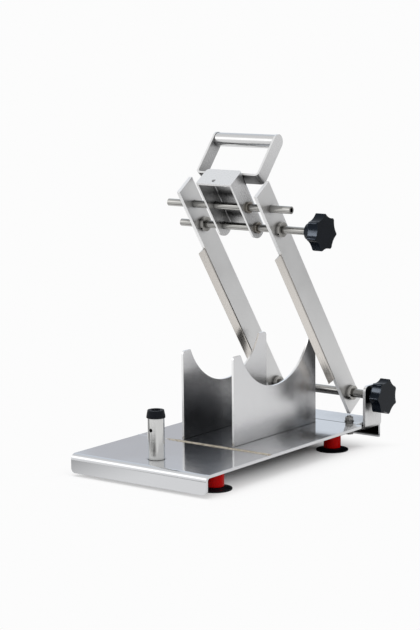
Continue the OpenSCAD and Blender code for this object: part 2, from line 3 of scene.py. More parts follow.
import json
import logging
import math
import random
from dataclasses import dataclass, field, replace
from enum import Enum

import bmesh
import bpy
from mathutils import Matrix, Vector, noise


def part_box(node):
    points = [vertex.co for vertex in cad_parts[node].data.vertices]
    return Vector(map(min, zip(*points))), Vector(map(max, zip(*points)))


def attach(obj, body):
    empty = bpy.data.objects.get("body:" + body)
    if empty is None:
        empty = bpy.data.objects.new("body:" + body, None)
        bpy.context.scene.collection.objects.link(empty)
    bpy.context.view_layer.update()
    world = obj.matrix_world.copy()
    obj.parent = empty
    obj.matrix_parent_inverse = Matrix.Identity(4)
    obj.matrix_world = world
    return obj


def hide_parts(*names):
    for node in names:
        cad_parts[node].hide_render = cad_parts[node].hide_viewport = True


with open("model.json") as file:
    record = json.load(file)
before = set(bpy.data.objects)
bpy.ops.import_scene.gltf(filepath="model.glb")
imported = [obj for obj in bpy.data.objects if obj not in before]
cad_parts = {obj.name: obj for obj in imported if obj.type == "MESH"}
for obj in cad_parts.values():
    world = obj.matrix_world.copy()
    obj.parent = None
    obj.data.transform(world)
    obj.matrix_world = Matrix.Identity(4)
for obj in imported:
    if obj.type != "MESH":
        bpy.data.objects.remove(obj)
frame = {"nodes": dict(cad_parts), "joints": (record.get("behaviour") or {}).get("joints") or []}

LOG = logging.getLogger("bench_slicer")
MM = 0.001
# Angle of the lever's arms above the base at rest
LEAN = math.radians(55.7)
# Angle from which two faces of a new piece meet in a visible edge
SHARP = math.radians(35)
# White of the room and of the paper
WHITE = "#fcfcfc"
# Numbers of rays that feel for corners, for the painted shade, and for edges
CORNER_RAYS = 6
EDGE_RAYS = 4
# Sockets of a colour mix, which only their numbers tell apart
SHARE, FIRST, SECOND, MIXED = 0, 6, 7, 2

Point = tuple[float, float, float]
Span = tuple[float, float]
Ring = list[Vector]


def linear(code: str) -> tuple[float, float, float, float]:
    """Turns an sRGB hex colour into linear light.

    Args:
        code: Colour such as "#c6cad0".

    Returns:
        Linear red, green, blue and an alpha of one.
    """
    parts = [int(code[i : i + 2], 16) / 255 for i in (1, 3, 5)]
    light = [p / 12.92 if p <= 0.04045 else ((p + 0.055) / 1.055) ** 2.4 for p in parts]
    return (light[0], light[1], light[2], 1.0)


def add(
    tree: bpy.types.NodeTree,
    kind: str,
    inputs: dict[str | int, object] | None = None,
    **settings: object,
) -> bpy.types.Node:
    """Adds one shader node with its settings and links.

    Args:
        tree: Tree that gets the node.
        kind: Blender's name of the node type.
        inputs: Value or linked socket for each input, by name or number.
        **settings: Properties of the node.

    Returns:
        The new node.
    """
    node = tree.nodes.new(kind)
    for name, value in settings.items():
        setattr(node, name, value)
    for key, value in (inputs or {}).items():
        if isinstance(value, bpy.types.NodeSocket):
            tree.links.new(value, node.inputs[key])
        else:
            node.inputs[key].default_value = value
    return node


def blank(name: str) -> tuple[bpy.types.Material, bpy.types.NodeTree]:
    """Makes a material with an empty node tree.

    Args:
        name: Name of the material.

    Returns:
        The material and its tree.
    """
    material = bpy.data.materials.new(name)
    material.use_nodes = True
    material.node_tree.nodes.clear()
    return material, material.node_tree


def pattern(
    tree: bpy.types.NodeTree,
    size_mm: float | Point,
    detail: float,
    turn: float = 0.0,
) -> bpy.types.NodeSocket:
    """Lays an uneven pattern of a real size over a piece.

    Args:
        tree: Tree that gets the nodes.
        size_mm: Size of one spot, the same all ways or along x, y and z.
        detail: Number of finer layers inside a spot.
        turn: Angle about x by which the pattern leans.

    Returns:
        Socket with the pattern, which lies about one half.
    """
    sizes = size_mm if isinstance(size_mm, tuple) else (size_mm,) * 3
    where = add(tree, "ShaderNodeTexCoord").outputs["Object"]
    laid = add(
        tree, "ShaderNodeMapping",
        {"Vector": where, "Rotation": (turn, 0.0, 0.0), "Scale": tuple(size * MM for size in sizes)},
        vector_type="TEXTURE",
    )
    spots = add(tree, "ShaderNodeTexNoise", {"Vector": laid.outputs[0], "Scale": 1.0, "Detail": detail})
    return spots.outputs[0]


class Run(Enum):
    """Way in which a belt or a tool ran over a surface."""

    ACROSS = "across the base"
    UPRIGHT = "up the walls"
    LEVER = "along the arms"
    TURNED = "round a bar that lies across"
    TURNED_UP = "round an upright bar"

    def size(self, line: float, run: float) -> Point:
        """Gives the size of the line pattern.

        Args:
            line: Distance between two lines.
            run: Length of a line.

        Returns:
            Size along x, y and z.
        """
        return {
            Run.ACROSS: (run, line, line),
            Run.UPRIGHT: (line, line, run),
            Run.LEVER: (line, line, run),
            Run.TURNED: (line, run, run),
            Run.TURNED_UP: (run, run, line),
        }[self]

    @property
    def turn(self) -> float:
        """Angle about x by which the lines lean from upright."""
        return math.pi / 2 - LEAN if self is Run.LEVER else 0.0


@dataclass(frozen=True)
class Steel:
    """Metal that was ground or turned one way.

    Fine parallel lines stretch every reflection across them, polishing clouds make the shine uneven, corners
    where other parts lie close get painted shade, and faces that don't face the sides get a painted
    highlight.
    """

    name: str
    bright: str
    dull: str
    smooth: float
    rough: float
    run: Run
    line_mm: float
    run_mm: float
    depth_mm: float
    cloud_mm: float = 45.0
    corner_mm: float = 12.0
    clean: float = 0.85
    spread: float = 0.6
    least: float = 0.25
    # Colour of the painted highlight on rims, the bright tone when empty
    rim: str = ""
    # Colour of the painted shade in corners
    corner: str = "#1c1c1c"
    edge_mm: float = 0.4
    shine_span: Span = (0.7, 1.3)
    rim_span: Span = (0.3, 0.8)

    def make(self) -> bpy.types.Material:
        """Builds the material.

        Returns:
            The finished material.
        """
        material, tree = blank(self.name)
        # Real belt lines lie about 0.1 mm apart; they are drawn coarser so that they show
        lines = pattern(tree, self.run.size(self.line_mm, self.run_mm), 3.0, self.run.turn)
        clouds = pattern(tree, self.cloud_mm, 4.0)
        shine = add(tree, "ShaderNodeMath", {0: lines, 1: clouds}, operation="ADD")
        rough = add(
            tree, "ShaderNodeMapRange",
            {
                "Value": shine.outputs[0], "From Min": self.shine_span[0], "From Max": self.shine_span[1],
                "To Min": self.smooth, "To Max": self.rough,
            },
        )
        edges = add(tree, "ShaderNodeBevel", {"Radius": self.edge_mm * MM}, samples=EDGE_RAYS)
        bump = add(
            tree, "ShaderNodeBump",
            {
                "Height": lines, "Strength": 1.0,
                "Distance": self.depth_mm * MM, "Normal": edges.outputs[0],
            },
        )
        surface = add(
            tree, "ShaderNodeBsdfPrincipled",
            {
                "Base Color": self.colour(tree, clouds), "Metallic": 1.0,
                "Roughness": rough.outputs[0], "Normal": bump.outputs[0],
            },
        )
        add(tree, "ShaderNodeOutputMaterial", {"Surface": surface.outputs[0]})
        return material

    def colour(self, tree: bpy.types.NodeTree, clouds: bpy.types.NodeSocket) -> bpy.types.NodeSocket:
        """Adds the cloudy tone, with a painted highlight on the rims and painted shade in the corners.

        Args:
            tree: Tree that gets the nodes.
            clouds: Pattern of the polishing clouds.

        Returns:
            Socket with the colour.
        """
        tone = add(
            tree, "ShaderNodeMix",
            {SHARE: clouds, FIRST: linear(self.dull), SECOND: linear(self.bright)}, data_type="RGBA",
        )
        # Painted highlight: cut edges and bends, which face away from the sides, get the brighter rim colour
        facing = add(tree, "ShaderNodeNewGeometry").outputs["True Normal"]
        sideways = add(tree, "ShaderNodeVectorMath", {0: facing}, operation="ABSOLUTE")
        flat = add(tree, "ShaderNodeSeparateXYZ", {0: sideways.outputs[0]}).outputs["X"]
        rims = add(
            tree, "ShaderNodeMapRange",
            {
                "Value": flat, "From Min": self.rim_span[0], "From Max": self.rim_span[1],
                "To Min": 1.0, "To Max": 0.0,
            },
        )
        rimmed = add(
            tree, "ShaderNodeMix",
            {SHARE: rims.outputs[0], FIRST: tone.outputs[MIXED], SECOND: linear(self.rim or self.bright)},
            data_type="RGBA",
        )
        # Painted shade: the colour turns to the corner colour where ambient occlusion finds other parts
        # within reach
        corners = add(
            tree, "ShaderNodeAmbientOcclusion", {"Distance": self.corner_mm * MM}, samples=CORNER_RAYS
        )
        reached = add(
            tree, "ShaderNodeMapRange",
            {
                "Value": corners.outputs["AO"], "From Min": self.clean - self.spread, "From Max": self.clean,
                "To Min": self.least, "To Max": 1.0,
            },
        )
        colour = add(
            tree, "ShaderNodeMix",
            {SHARE: reached.outputs[0], FIRST: linear(self.corner), SECOND: rimmed.outputs[MIXED]},
            data_type="RGBA",
        )
        return colour.outputs[MIXED]


@dataclass(frozen=True)
class Moulded:
    """Plastic, rubber or the painted shade of the joint lines, with a fine grain.

    A mould's spark-eroded skin gives the grain, and handling leaves it slightly uneven in gloss, in marks
    about as wide as a fingertip. Its edges get painted light in an edge colour of their own.
    """

    name: str
    body: str
    worn: str
    smooth: float
    rough: float
    grain_mm: float
    depth_mm: float
    edge_mm: float
    gloss: float
    ior: float = 1.5
    # Colour of the painted light on the edges, the worn tone when empty
    edge: str = ""
    sheen: str = "#ffffff"
    mark_mm: float = 12.0
    mark_span: Span = (0.3, 0.7)
    rub_span: Span = (0.97, 0.8)

    def make(self) -> bpy.types.Material:
        """Builds the material.

        Returns:
            The finished material.
        """
        material, tree = blank(self.name)
        grain = pattern(tree, self.grain_mm, 2.0)
        marks = pattern(tree, self.mark_mm, 3.0)
        tone = add(
            tree, "ShaderNodeMix",
            {SHARE: marks, FIRST: linear(self.body), SECOND: linear(self.worn)}, data_type="RGBA",
        )
        rough = add(
            tree, "ShaderNodeMapRange",
            {
                "Value": marks, "From Min": self.mark_span[0], "From Max": self.mark_span[1],
                "To Min": self.smooth, "To Max": self.rough,
            },
        )
        edges = add(tree, "ShaderNodeBevel", {"Radius": self.edge_mm * MM}, samples=EDGE_RAYS)
        # Painted light on edges: where the rounded normal leaves the flat one, the colour turns to the edge
        # colour.
        # It is lighter on most finishes and darker on the feet
        flat = add(tree, "ShaderNodeNewGeometry").outputs["True Normal"]
        turned = add(tree, "ShaderNodeVectorMath", {0: edges.outputs[0], 1: flat}, operation="DOT_PRODUCT")
        rubbed = add(
            tree, "ShaderNodeMapRange",
            {
                "Value": turned.outputs["Value"], "From Min": self.rub_span[0], "From Max": self.rub_span[1],
                "To Min": 0.0, "To Max": 1.0,
            },
        )
        colour = add(
            tree, "ShaderNodeMix",
            {SHARE: rubbed.outputs[0], FIRST: tone.outputs[MIXED], SECOND: linear(self.edge or self.worn)},
            data_type="RGBA",
        )
        bump = add(
            tree, "ShaderNodeBump",
            {
                "Height": grain, "Strength": 1.0,
                "Distance": self.depth_mm * MM, "Normal": edges.outputs[0],
            },
        )
        surface = add(
            tree, "ShaderNodeBsdfPrincipled",
            {
                "Base Color": colour.outputs[MIXED], "Roughness": rough.outputs[0],
                "IOR": self.ior, "Specular IOR Level": self.gloss,
                "Specular Tint": linear(self.sheen), "Normal": bump.outputs[0],
            },
        )
        add(tree, "ShaderNodeOutputMaterial", {"Surface": surface.outputs[0]})
        return material


@dataclass(frozen=True)
class HeatTint:
    """Weld bead that was brushed but not pickled.

    Straw and brown oxide stays in the ripples, so the bead sparkles in warm specks.
    """

    name: str
    steel: str
    straw: str
    brown: str
    speck_mm: float
    brown_at: float = 0.38
    straw_at: float = 0.5
    steel_at: float = 0.62
    rough: float = 0.38
    depth_mm: float = 0.1

    def make(self) -> bpy.types.Material:
        """Builds the material.

        Returns:
            The finished material.
        """
        material, tree = blank(self.name)
        specks = pattern(tree, self.speck_mm, 4.0)
        ramp = add(tree, "ShaderNodeValToRGB", {"Fac": specks})
        stops = ramp.color_ramp.elements
        stops[0].position = self.brown_at
        stops[0].color = linear(self.brown)
        stops[1].position = self.steel_at
        stops[1].color = linear(self.steel)
        stops.new(self.straw_at).color = linear(self.straw)
        bump = add(
            tree, "ShaderNodeBump", {"Height": specks, "Strength": 1.0, "Distance": self.depth_mm * MM}
        )
        surface = add(
            tree, "ShaderNodeBsdfPrincipled",
            {
                "Base Color": ramp.outputs[0], "Metallic": 1.0,
                "Roughness": self.rough, "Normal": bump.outputs[0],
            },
        )
        add(tree, "ShaderNodeOutputMaterial", {"Surface": surface.outputs[0]})
        return material


class Finish(Enum):
    """Finishes of the slicer, one for each way a surface was made."""

    # Polished sheet: a clear, nearly neutral mirror with faint streaks across
    BASE_SHEET = Steel(
        "stainless_sheet_polished", "#d2d3d5", "#c2c3c5", 0.06, 0.14, Run.ACROSS,
        line_mm=0.6, run_mm=70.0, depth_mm=0.0012, corner_mm=6.0,
    )
    # Same sheet behind the base, darkened with painted shade where the lip turns in under it
    REAR_SHEET = replace(BASE_SHEET, name="stainless_sheet_rear", corner_mm=45.0)
    # Walls had a finer pass of the belt, so what they mirror runs into soft smears; painted shade darkens
    # their inner faces and feet, and a painted highlight brightens their edges
    WALL_SHEET = Steel(
        "stainless_sheet_belt_ground", "#dadadb", "#c8c8ca", 0.16, 0.26, Run.UPRIGHT,
        line_mm=0.6, run_mm=70.0, depth_mm=0.0006,
        corner_mm=110.0, clean=0.62, spread=0.22, least=0.08, rim="#f4f4f4",
    )
    # Folded yoke sheet: satin, ground along the lever, with painted shade in its corners and a painted
    # highlight on its edges
    LEVER_SHEET = Steel(
        "stainless_sheet_satin", "#d8d8d8", "#c8c8c9", 0.22, 0.34, Run.LEVER,
        line_mm=0.5, run_mm=45.0, depth_mm=0.0008, corner_mm=32.0, rim="#ececec",
    )
    # Head: same sheet, its deep inside darkened with painted shade
    HEAD_SHEET = replace(
        LEVER_SHEET, name="stainless_sheet_folded", corner_mm=40.0, clean=0.7, spread=0.42, least=0.08
    )
    # Handle bar: a bent flat bar, its inner faces and its underside darkened with painted shade
    HANDLE_BAR = replace(
        LEVER_SHEET, name="stainless_flat_bar_bent", corner_mm=80.0, clean=0.97, spread=0.5, least=0.15
    )
    # Flat bar: even grey satin from end to end, with a painted highlight on its edges and painted shade where
    # parts meet
    ARM_BAR = Steel(
        "stainless_flat_bar_satin", "#dadada", "#cacaca", 0.28, 0.40, Run.LEVER,
        line_mm=0.6, run_mm=60.0, depth_mm=0.001, rim="#f4f4f4",
    )
    # Drawn and polished round bar: darker, with sharp highlights that run its whole length, and painted shade
    # near the arms
    ROUND_BAR = Steel(
        "stainless_bar_drawn", "#b0afac", "#969491", 0.07, 0.14, Run.ACROSS,
        line_mm=0.5, run_mm=90.0, depth_mm=0.0006, corner_mm=34.0, clean=0.9, spread=0.5, least=0.12,
    )
    # Pivot shaft: same bar, darkened underneath with painted shade, where the base lies close below
    SHAFT_BAR = Steel(
        "stainless_shaft_drawn", "#a9a8a5", "#918f8c", 0.07, 0.14, Run.ACROSS,
        line_mm=0.5, run_mm=90.0, depth_mm=0.0006, corner_mm=60.0, least=0.12,
    )
    # Grip of tube, brighter than the bars
    GRIP_TUBE = Steel(
        "stainless_tube_satin", "#d2d2d2", "#c2c2c2", 0.16, 0.26, Run.ACROSS,
        line_mm=0.5, run_mm=60.0, depth_mm=0.001,
    )
    # Post turned from bar: rings smear its reflections into upright stripes
    POST_BAR = Steel(
        "stainless_bar_turned", "#d2d2d1", "#c2c2c1", 0.10, 0.18, Run.TURNED_UP,
        line_mm=0.5, run_mm=200.0, depth_mm=0.03, corner_mm=5.0,
    )
    # Painted contact shade along the joints of the base: a matt dark line
    PASTE = Moulded(
        "polishing_paste_dried", "#141414", "#222222", 0.6, 0.8,
        grain_mm=0.4, depth_mm=0.02, edge_mm=0.1, gloss=0.1,
    )
    # Turned collars: fine rings that spread the highlight
    TURNED_RING = Steel(
        "stainless_turned", "#c2c0bc", "#9d9b97", 0.14, 0.24, Run.TURNED,
        line_mm=0.5, run_mm=200.0, depth_mm=0.003,
        cloud_mm=10.0, corner_mm=8.0, clean=0.95, spread=0.5, least=0.1,
    )
    # Bushes welded to the head: turned, with some heat colour left
    WELDED_RING = Steel(
        "stainless_turned_heat_tinted", "#aca69d", "#7f7972", 0.14, 0.24, Run.TURNED,
        line_mm=0.5, run_mm=200.0, depth_mm=0.003,
    )
    # Blade: ground bright along its length
    BLADE = Steel(
        "blade_steel_ground", "#dedad5", "#d2cdc7", 0.24, 0.30, Run.LEVER,
        line_mm=0.4, run_mm=60.0, depth_mm=0.0005,
    )
    # Zinc plated hardware: duller than the stainless
    ZINC = Steel(
        "zinc_plated_steel", "#a3a29f", "#77777a", 0.30, 0.45, Run.UPRIGHT,
        line_mm=0.4, run_mm=4.0, depth_mm=0.003, cloud_mm=8.0, corner_mm=4.0,
    )
    # Black oxide: nearly black steel with an oily sheen
    BLACK_OXIDE = Steel(
        "black_oxide_steel", "#343537", "#1f2022", 0.30, 0.45, Run.TURNED,
        line_mm=0.4, run_mm=50.0, depth_mm=0.002, cloud_mm=10.0,
    )
    # Sintered bronze: warm and soft in its highlights
    BRONZE = Steel(
        "sintered_bronze", "#b58a4c", "#8c6632", 0.34, 0.50, Run.TURNED,
        line_mm=0.4, run_mm=50.0, depth_mm=0.004, cloud_mm=10.0,
    )
    # Phenolic star knobs: blue-black, with a low bluish sheen and a grey painted highlight on their edges
    KNOB = Moulded(
        "phenolic_moulded", "#05080d", "#0a0f16", 0.14, 0.22,
        grain_mm=0.5, depth_mm=0.004, edge_mm=0.5, gloss=0.12, edge="#3a4048", sheen="#dbe9fc",
    )
    # Vinyl foot bodies: deep red with a soft gloss
    FOOT = Moulded(
        "red_vinyl_moulded", "#bd0504", "#a00303", 0.24, 0.36,
        grain_mm=0.8, depth_mm=0.006, edge_mm=0.5, gloss=0.06,
    )
    # Rubber: black and matt, greyer where it was touched
    RUBBER = Moulded(
        "black_rubber_moulded", "#090b0f", "#10131a", 0.42, 0.56,
        grain_mm=0.6, depth_mm=0.012, edge_mm=0.4, gloss=0.12, ior=1.52,
    )
    # Weld seam across the base: warm specks on a dull bead
    WELD = HeatTint("tig_weld_heat_tinted", "#d3cec4", "#bfb5a3", "#857a6a", speck_mm=1.3)

    @property
    def material(self) -> bpy.types.Material:
        """Material of this finish, made when it is first asked for."""
        return bpy.data.materials.get(self.value.name) or self.value.make()


def dress(finish: Finish, *nodes: str) -> None:
    """Gives nodes of the frame their finish.

    Args:
        finish: Finish that they get.
        *nodes: Names of the nodes.
    """
    for node in nodes:
        piece = frame["nodes"][node]
        piece.data.materials.clear()
        piece.data.materials.append(finish.material)
        LOG.info("%s: %s", node, finish.value.name)


def show(name: str, data: bpy.types.ID) -> bpy.types.Object:
    """Puts a mesh, a lamp or a camera into the scene.

    Args:
        name: Name of the object.
        data: What it holds.

    Returns:
        The new object.
    """
    thing = bpy.data.objects.new(name, data)
    bpy.context.scene.collection.objects.link(thing)
    return thing


def settle(name: str, mesh: bmesh.types.BMesh, finish: Finish, body: str) -> bpy.types.Object:
    """Turns a mesh into a smooth piece that rides on a body.

    Args:
        name: Name of the piece.
        mesh: Its mesh, which is freed.
        finish: Finish of the piece.
        body: Body that carries the piece.

    Returns:
        The new piece.
    """
    for face in mesh.faces:
        face.smooth = True
    data = bpy.data.meshes.new(name)
    mesh.to_mesh(data)
    mesh.free()
    data.set_sharp_from_angle(angle=SHARP)
    data.materials.append(finish.material)
    piece = show(name, data)
    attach(piece, body)
    LOG.info("%s: %s, %d faces", name, finish.value.name, len(data.polygons))
    return piece


def skin(name: str, rings: list[Ring], finish: Finish, body: str, closed: bool = True) -> bpy.types.Object:
    """Builds a piece by joining rings of points one after another.

    Args:
        name: Name of the piece.
        rings: Rings with the same number of points.
        finish: Finish of the piece.
        body: Body that carries the piece.
        closed: Whether each ring closes on itself and the ends get caps.

    Returns:
        The new piece.
    """
    mesh = bmesh.new()
    rows = [[mesh.verts.new(point) for point in ring] for ring in rings]
    count = len(rows[0])
    for low, high in zip(rows, rows[1:]):
        for i in range(count if closed else count - 1):
            j = (i + 1) % count
            mesh.faces.new((low[i], low[j], high[j], high[i]))
    if closed:
        mesh.faces.new(rows[0][::-1])
        mesh.faces.new(rows[-1])
    bmesh.ops.recalc_face_normals(mesh, faces=mesh.faces)
    return settle(name, mesh, finish, body)


def hexagon(across_flats: float, count: int) -> list[tuple[float, float]]:
    """Walks round a hexagon.

    Args:
        across_flats: Size over two flats.
        count: Number of points, a multiple of six.

    Returns:
        Radius and angle of each point.
    """
    walk = []
    for i in range(count):
        angle = math.tau * i / count
        off = (angle % (math.pi / 3)) - math.pi / 6
        walk.append((across_flats / 2 / math.cos(off), angle))
    return walk


def joint_place(name: str) -> Vector:
    """Place of a joint at rest, by its name."""
    return Vector(next(j["pos_m"] for j in frame["joints"] if j["name"] == name))


@dataclass
class Base:
    """Base sheet and cradle walls."""

    walls: tuple[str, ...] = ("left_cradle_wall", "right_cradle_wall")

    def dress(self) -> None:
        """Finishes the sheets."""
        dress(Finish.BASE_SHEET, "base_plate")
        dress(Finish.WALL_SHEET, *self.walls)


@dataclass
class WeldSeam:
    """Rippled bead and spatter over the plain seam across the base sheet."""

    gap_mm: float = 10.0
    w_mm: float = 3.6
    h_mm: float = 1.3
    sunk_mm: float = 0.02
    past_mm: float = 30.0
    taper_mm: float = 26.0
    thin: float = 0.2
    end_mm: float = 0.4
    steps: int = 560
    points: int = 9
    ripple_mm: float = 2.4
    ripple_h_mm: float = 0.3
    jitter: float = 1.5
    jitter_per_m: float = 300.0
    wander_mm: float = 0.25
    wander_per_m: float = 160.0
    wander_row: float = 3.0
    drops: int = 90
    drop_mm: Span = (0.3, 0.7)
    drop_spread: Span = (1.0, 3.2)
    drop_detail: int = 2
    drop_seed: int = 7

    def build(self) -> None:
        """Lays the bead, which was ground flush left of the cradle, and its spatter."""
        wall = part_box("left_cradle_wall")[0]
        y, top = wall.y - self.gap_mm * MM, wall.z
        left, right = wall.x - self.past_mm * MM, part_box("base_plate")[1].x
        rings: list[Ring] = []
        for i in range(self.steps + 1):
            x = left + (right - self.end_mm * MM - left) * i / self.steps
            full = self.thin + (1 - self.thin) * min(1.0, (x - left) / (self.taper_mm * MM))
            uneven = self.jitter * noise.noise((x * self.jitter_per_m, 0, 0))
            wave = math.sin(math.tau * x / (self.ripple_mm * MM) + uneven)
            wander = self.wander_mm * noise.noise((x * self.wander_per_m, self.wander_row, 0))
            ring = []
            for k in range(self.points):
                t = 2 * k / (self.points - 1) - 1
                lift = (self.h_mm + self.ripple_h_mm * wave) * (1 - t * t) * full
                aside = t * full * self.w_mm / 2 + wander
                ring.append(Vector((x, y + aside * MM, top + (lift - self.sunk_mm) * MM)))
            rings.append(ring)
        skin("base_weld_seam", rings, Finish.WELD, "base", closed=False)
        self.spatter(left, right, y, top)

    def spatter(self, left: float, right: float, y: float, top: float) -> None:
        """Scatters small weld droplets beside the bead.

        Args:
            left: Left end of the seam.
            right: Right end of the seam.
            y: Place of the seam along the base.
            top: Height of the sheet.
        """
        chance = random.Random(self.drop_seed)
        drops = bmesh.new()
        for _ in range(self.drops):
            x = chance.uniform(left, right)
            way = chance.choice((-1, 1))
            place = Vector((x, y + way * chance.uniform(*self.drop_spread) * self.w_mm / 2 * MM, top))
            bmesh.ops.create_icosphere(
                drops, subdivisions=self.drop_detail, radius=chance.uniform(*self.drop_mm) * MM,
                matrix=Matrix.Translation(place),
            )
        settle("base_weld_spatter", drops, Finish.WELD, "base")


@dataclass
class PasteLines:
    """Thin dark lines of painted contact shade in the joints of the base."""

    r_mm: float = 0.35
    points: int = 8
    ring_points: int = 48
    rear_sunk: float = 0.3
    rear_short: float = 4.0

    def build(self) -> None:
        """Draws the lines along the walls, round the post and along the rear plate."""
        r = self.r_mm * MM
        angles = [math.tau * i / self.points for i in range(self.points)]
        rim = [(r * math.cos(a), r * math.sin(a)) for a in angles]
        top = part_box("left_cradle_wall")[0].z
        for side, faces in (("left", ("outer", "inner")), ("right", ("inner", "outer"))):
            low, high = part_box(f"{side}_cradle_wall")
            for face, x in zip(faces, (low.x, high.x)):
                rings = [
                    [Vector((x + out, y, top + up)) for out, up in rim]
                    for y in (low.y + r, high.y - r)
                ]
                skin(f"{side}_wall_{face}_line", rings, Finish.PASTE, "base")
        skin("post_foot_line", self.round_post(rim, top), Finish.PASTE, "base")
        low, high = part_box("base_plate")
        y = (high.y + max(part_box("rear_plate")[0].y, high.y)) / 2
        rings = [
            [Vector((x, y + out, top - self.rear_sunk * r + up)) for out, up in rim]
            for x in (low.x + self.rear_short * r, high.x - self.rear_short * r)
        ]
        skin("rear_joint_line", rings, Finish.PASTE, "base")

    def round_post(self, rim: list[tuple[float, float]], top: float) -> list[Ring]:
        """Takes a line's section round the foot of the post.

        Args:
            rim: Points of the section, out from the post and up.
            top: Height of the sheet.

        Returns:
            The section at each step of the way round.
        """
        low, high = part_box("stop_post")
        middle, reach = (low + high) / 2, (high.x - low.x) / 2
        rings: list[Ring] = []
        for i in range(self.ring_points + 1):
            turn = math.tau * i / self.ring_points
            rings.append([
                Vector((
                    middle.x + (reach + out) * math.cos(turn),
                    middle.y + (reach + out) * math.sin(turn),
                    top + up,
                ))
                for out, up in rim
            ])
        return rings


@dataclass
class StopPost:
    """Post with its rubber cap and its screw."""

    name: str = "stop_post"

    def dress(self) -> None:
        """Finishes the post."""
        dress(Finish.POST_BAR, self.name)
        dress(Finish.RUBBER, f"{self.name}_cap")
        dress(Finish.ZINC, f"{self.name}_screw")


@dataclass
class Feet:
    """Four foot bodies on suction cups."""

    corners: tuple[str, ...] = ("front_left", "front_right", "rear_left", "rear_right")

    def dress(self) -> None:
        """Finishes the feet."""
        for corner in self.corners:
            dress(Finish.FOOT, f"{corner}_foot")
            dress(Finish.RUBBER, f"{corner}_suction_cup")
        dress(Finish.ZINC, "foot_studs")


@dataclass
class Yoke:
    """Rear plate and yoke with their bolts and bushes."""

    nut_af_mm: float = 11.0
    nut_chamfer_mm: float = 0.7
    nut_tip: float = 0.97
    nut_points: int = 48

    def dress(self) -> None:
        """Finishes the sheets and the hardware."""
        dress(Finish.REAR_SHEET, "rear_plate")
        dress(Finish.LEVER_SHEET, "pivot_yoke")
        dress(Finish.ZINC, "yoke_bolts", "yoke_washers", "yoke_nuts")
        dress(Finish.BRONZE, "left_ear_bush", "right_ear_bush")

    def build(self) -> None:
        """Puts chamfered nuts in place of the plain ones."""
        low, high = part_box("yoke_nuts")
        y = (low.y + high.y) / 2
        reach = self.nut_af_mm / 2 / math.cos(math.pi / 6) * MM
        height, cut = high.z - low.z, self.nut_chamfer_mm * MM
        tip = self.nut_tip * self.nut_af_mm / 2 * MM
        for side, x in (("left", low.x + reach), ("right", high.x - reach)):
            rings: list[Ring] = []
            for z, limit in ((0.0, tip), (cut, math.inf), (height - cut, math.inf), (height, tip)):
                ring = []
                for r, angle in hexagon(self.nut_af_mm, self.nut_points):
                    out = min(r * MM, limit)
                    ring.append(Vector((x + out * math.cos(angle), y + out * math.sin(angle), low.z + z)))
                rings.append(ring)
            nut = skin(f"{side}_yoke_nut", rings, Finish.ZINC, "base")
            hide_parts("yoke_nuts")


@dataclass
class Lever:
    """Shaft, rods, head and handle."""

    rods: tuple[str, ...] = ("upper_cross_rod", "lower_cross_rod")

    def dress(self) -> None:
        """Finishes the lever."""
        dress(Finish.SHAFT_BAR, "pivot_shaft")
        dress(Finish.ROUND_BAR, *self.rods)
        dress(Finish.HEAD_SHEET, "head_bracket")
        dress(Finish.WELDED_RING, "head_bushes")
        dress(Finish.HANDLE_BAR, "handle_frame")
        dress(Finish.GRIP_TUBE, "handle_grip")


@dataclass
class BladeArm:
    """One arm with its blade, collars and set screws."""

    side: str
    screw_r_mm: float = 1.5
    socket_af_mm: float = 1.6
    socket_mm: float = 1.4
    collar_r_mm: float = 10.0
    sunk_mm: float = 0.4
    shaft_start_mm: float = 6.1
    rod_start_mm: float = 5.1
    tip_mm: float = 0.4
    tip_share: float = 0.8
    brim_mm: float = 0.3
    brim_share: float = 0.85
    points: int = 24

    def dress(self) -> None:
        """Finishes the arm."""
        dress(Finish.ARM_BAR, f"{self.side}_arm")
        dress(Finish.BLADE, f"{self.side}_blade")
        for node in ("pivot_boss", "pivot_collar", "rod_collar"):
            dress(Finish.TURNED_RING, f"{self.side}_{node}")
        dress(Finish.BLACK_OXIDE, f"{self.side}_set_screws")

    def build(self) -> None:
        """Puts socket set screws in place of the plain ones."""
        across = Vector((1.0, 0.0, 0.0))
        down = Vector((0.0, -math.sin(LEAN), -math.cos(LEAN)))
        along = Vector((0.0, -math.cos(LEAN), math.sin(LEAN)))
        shank = [(self.screw_r_mm, math.tau * i / self.points) for i in range(self.points)]
        socket = hexagon(self.socket_af_mm, self.points)
        top = self.collar_r_mm - self.sunk_mm
        places = {
            "pivot_collar": (joint_place("lever_swing"), self.shaft_start_mm),
            "rod_collar": (joint_place("rod_knob_turn"), self.rod_start_mm),
        }
        for collar, (axis, start) in places.items():
            low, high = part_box(f"{self.side}_{collar}")
            foot = Vector(((low.x + high.x) / 2, axis.y, axis.z))
            rings: list[Ring] = []
            for depth, walk, share in (
                (start, shank, self.tip_share),
                (start + self.tip_mm, shank, 1.0),
                (top - self.brim_mm, shank, 1.0),
                (top, shank, self.brim_share),
                (top, socket, 1.0),
                (top - self.socket_mm, socket, 1.0),
            ):
                ring = []
                for r, a in walk:
                    round_axis = across * (r * share * math.cos(a)) + along * (r * share * math.sin(a))
                    ring.append(foot + (down * depth + round_axis) * MM)
                rings.append(ring)
            name = f"{self.side}_{collar}_screw"
            screw = skin(name, rings, Finish.BLACK_OXIDE, f"{self.side}_blade_arm")
            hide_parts(f"{self.side}_set_screws")


@dataclass
class StarKnob:
    """Star knob with its metal insert."""

    name: str

    def dress(self) -> None:
        """Finishes the knob."""
        dress(Finish.KNOB, self.name)
        dress(Finish.BRONZE, f"{self.name}_insert")


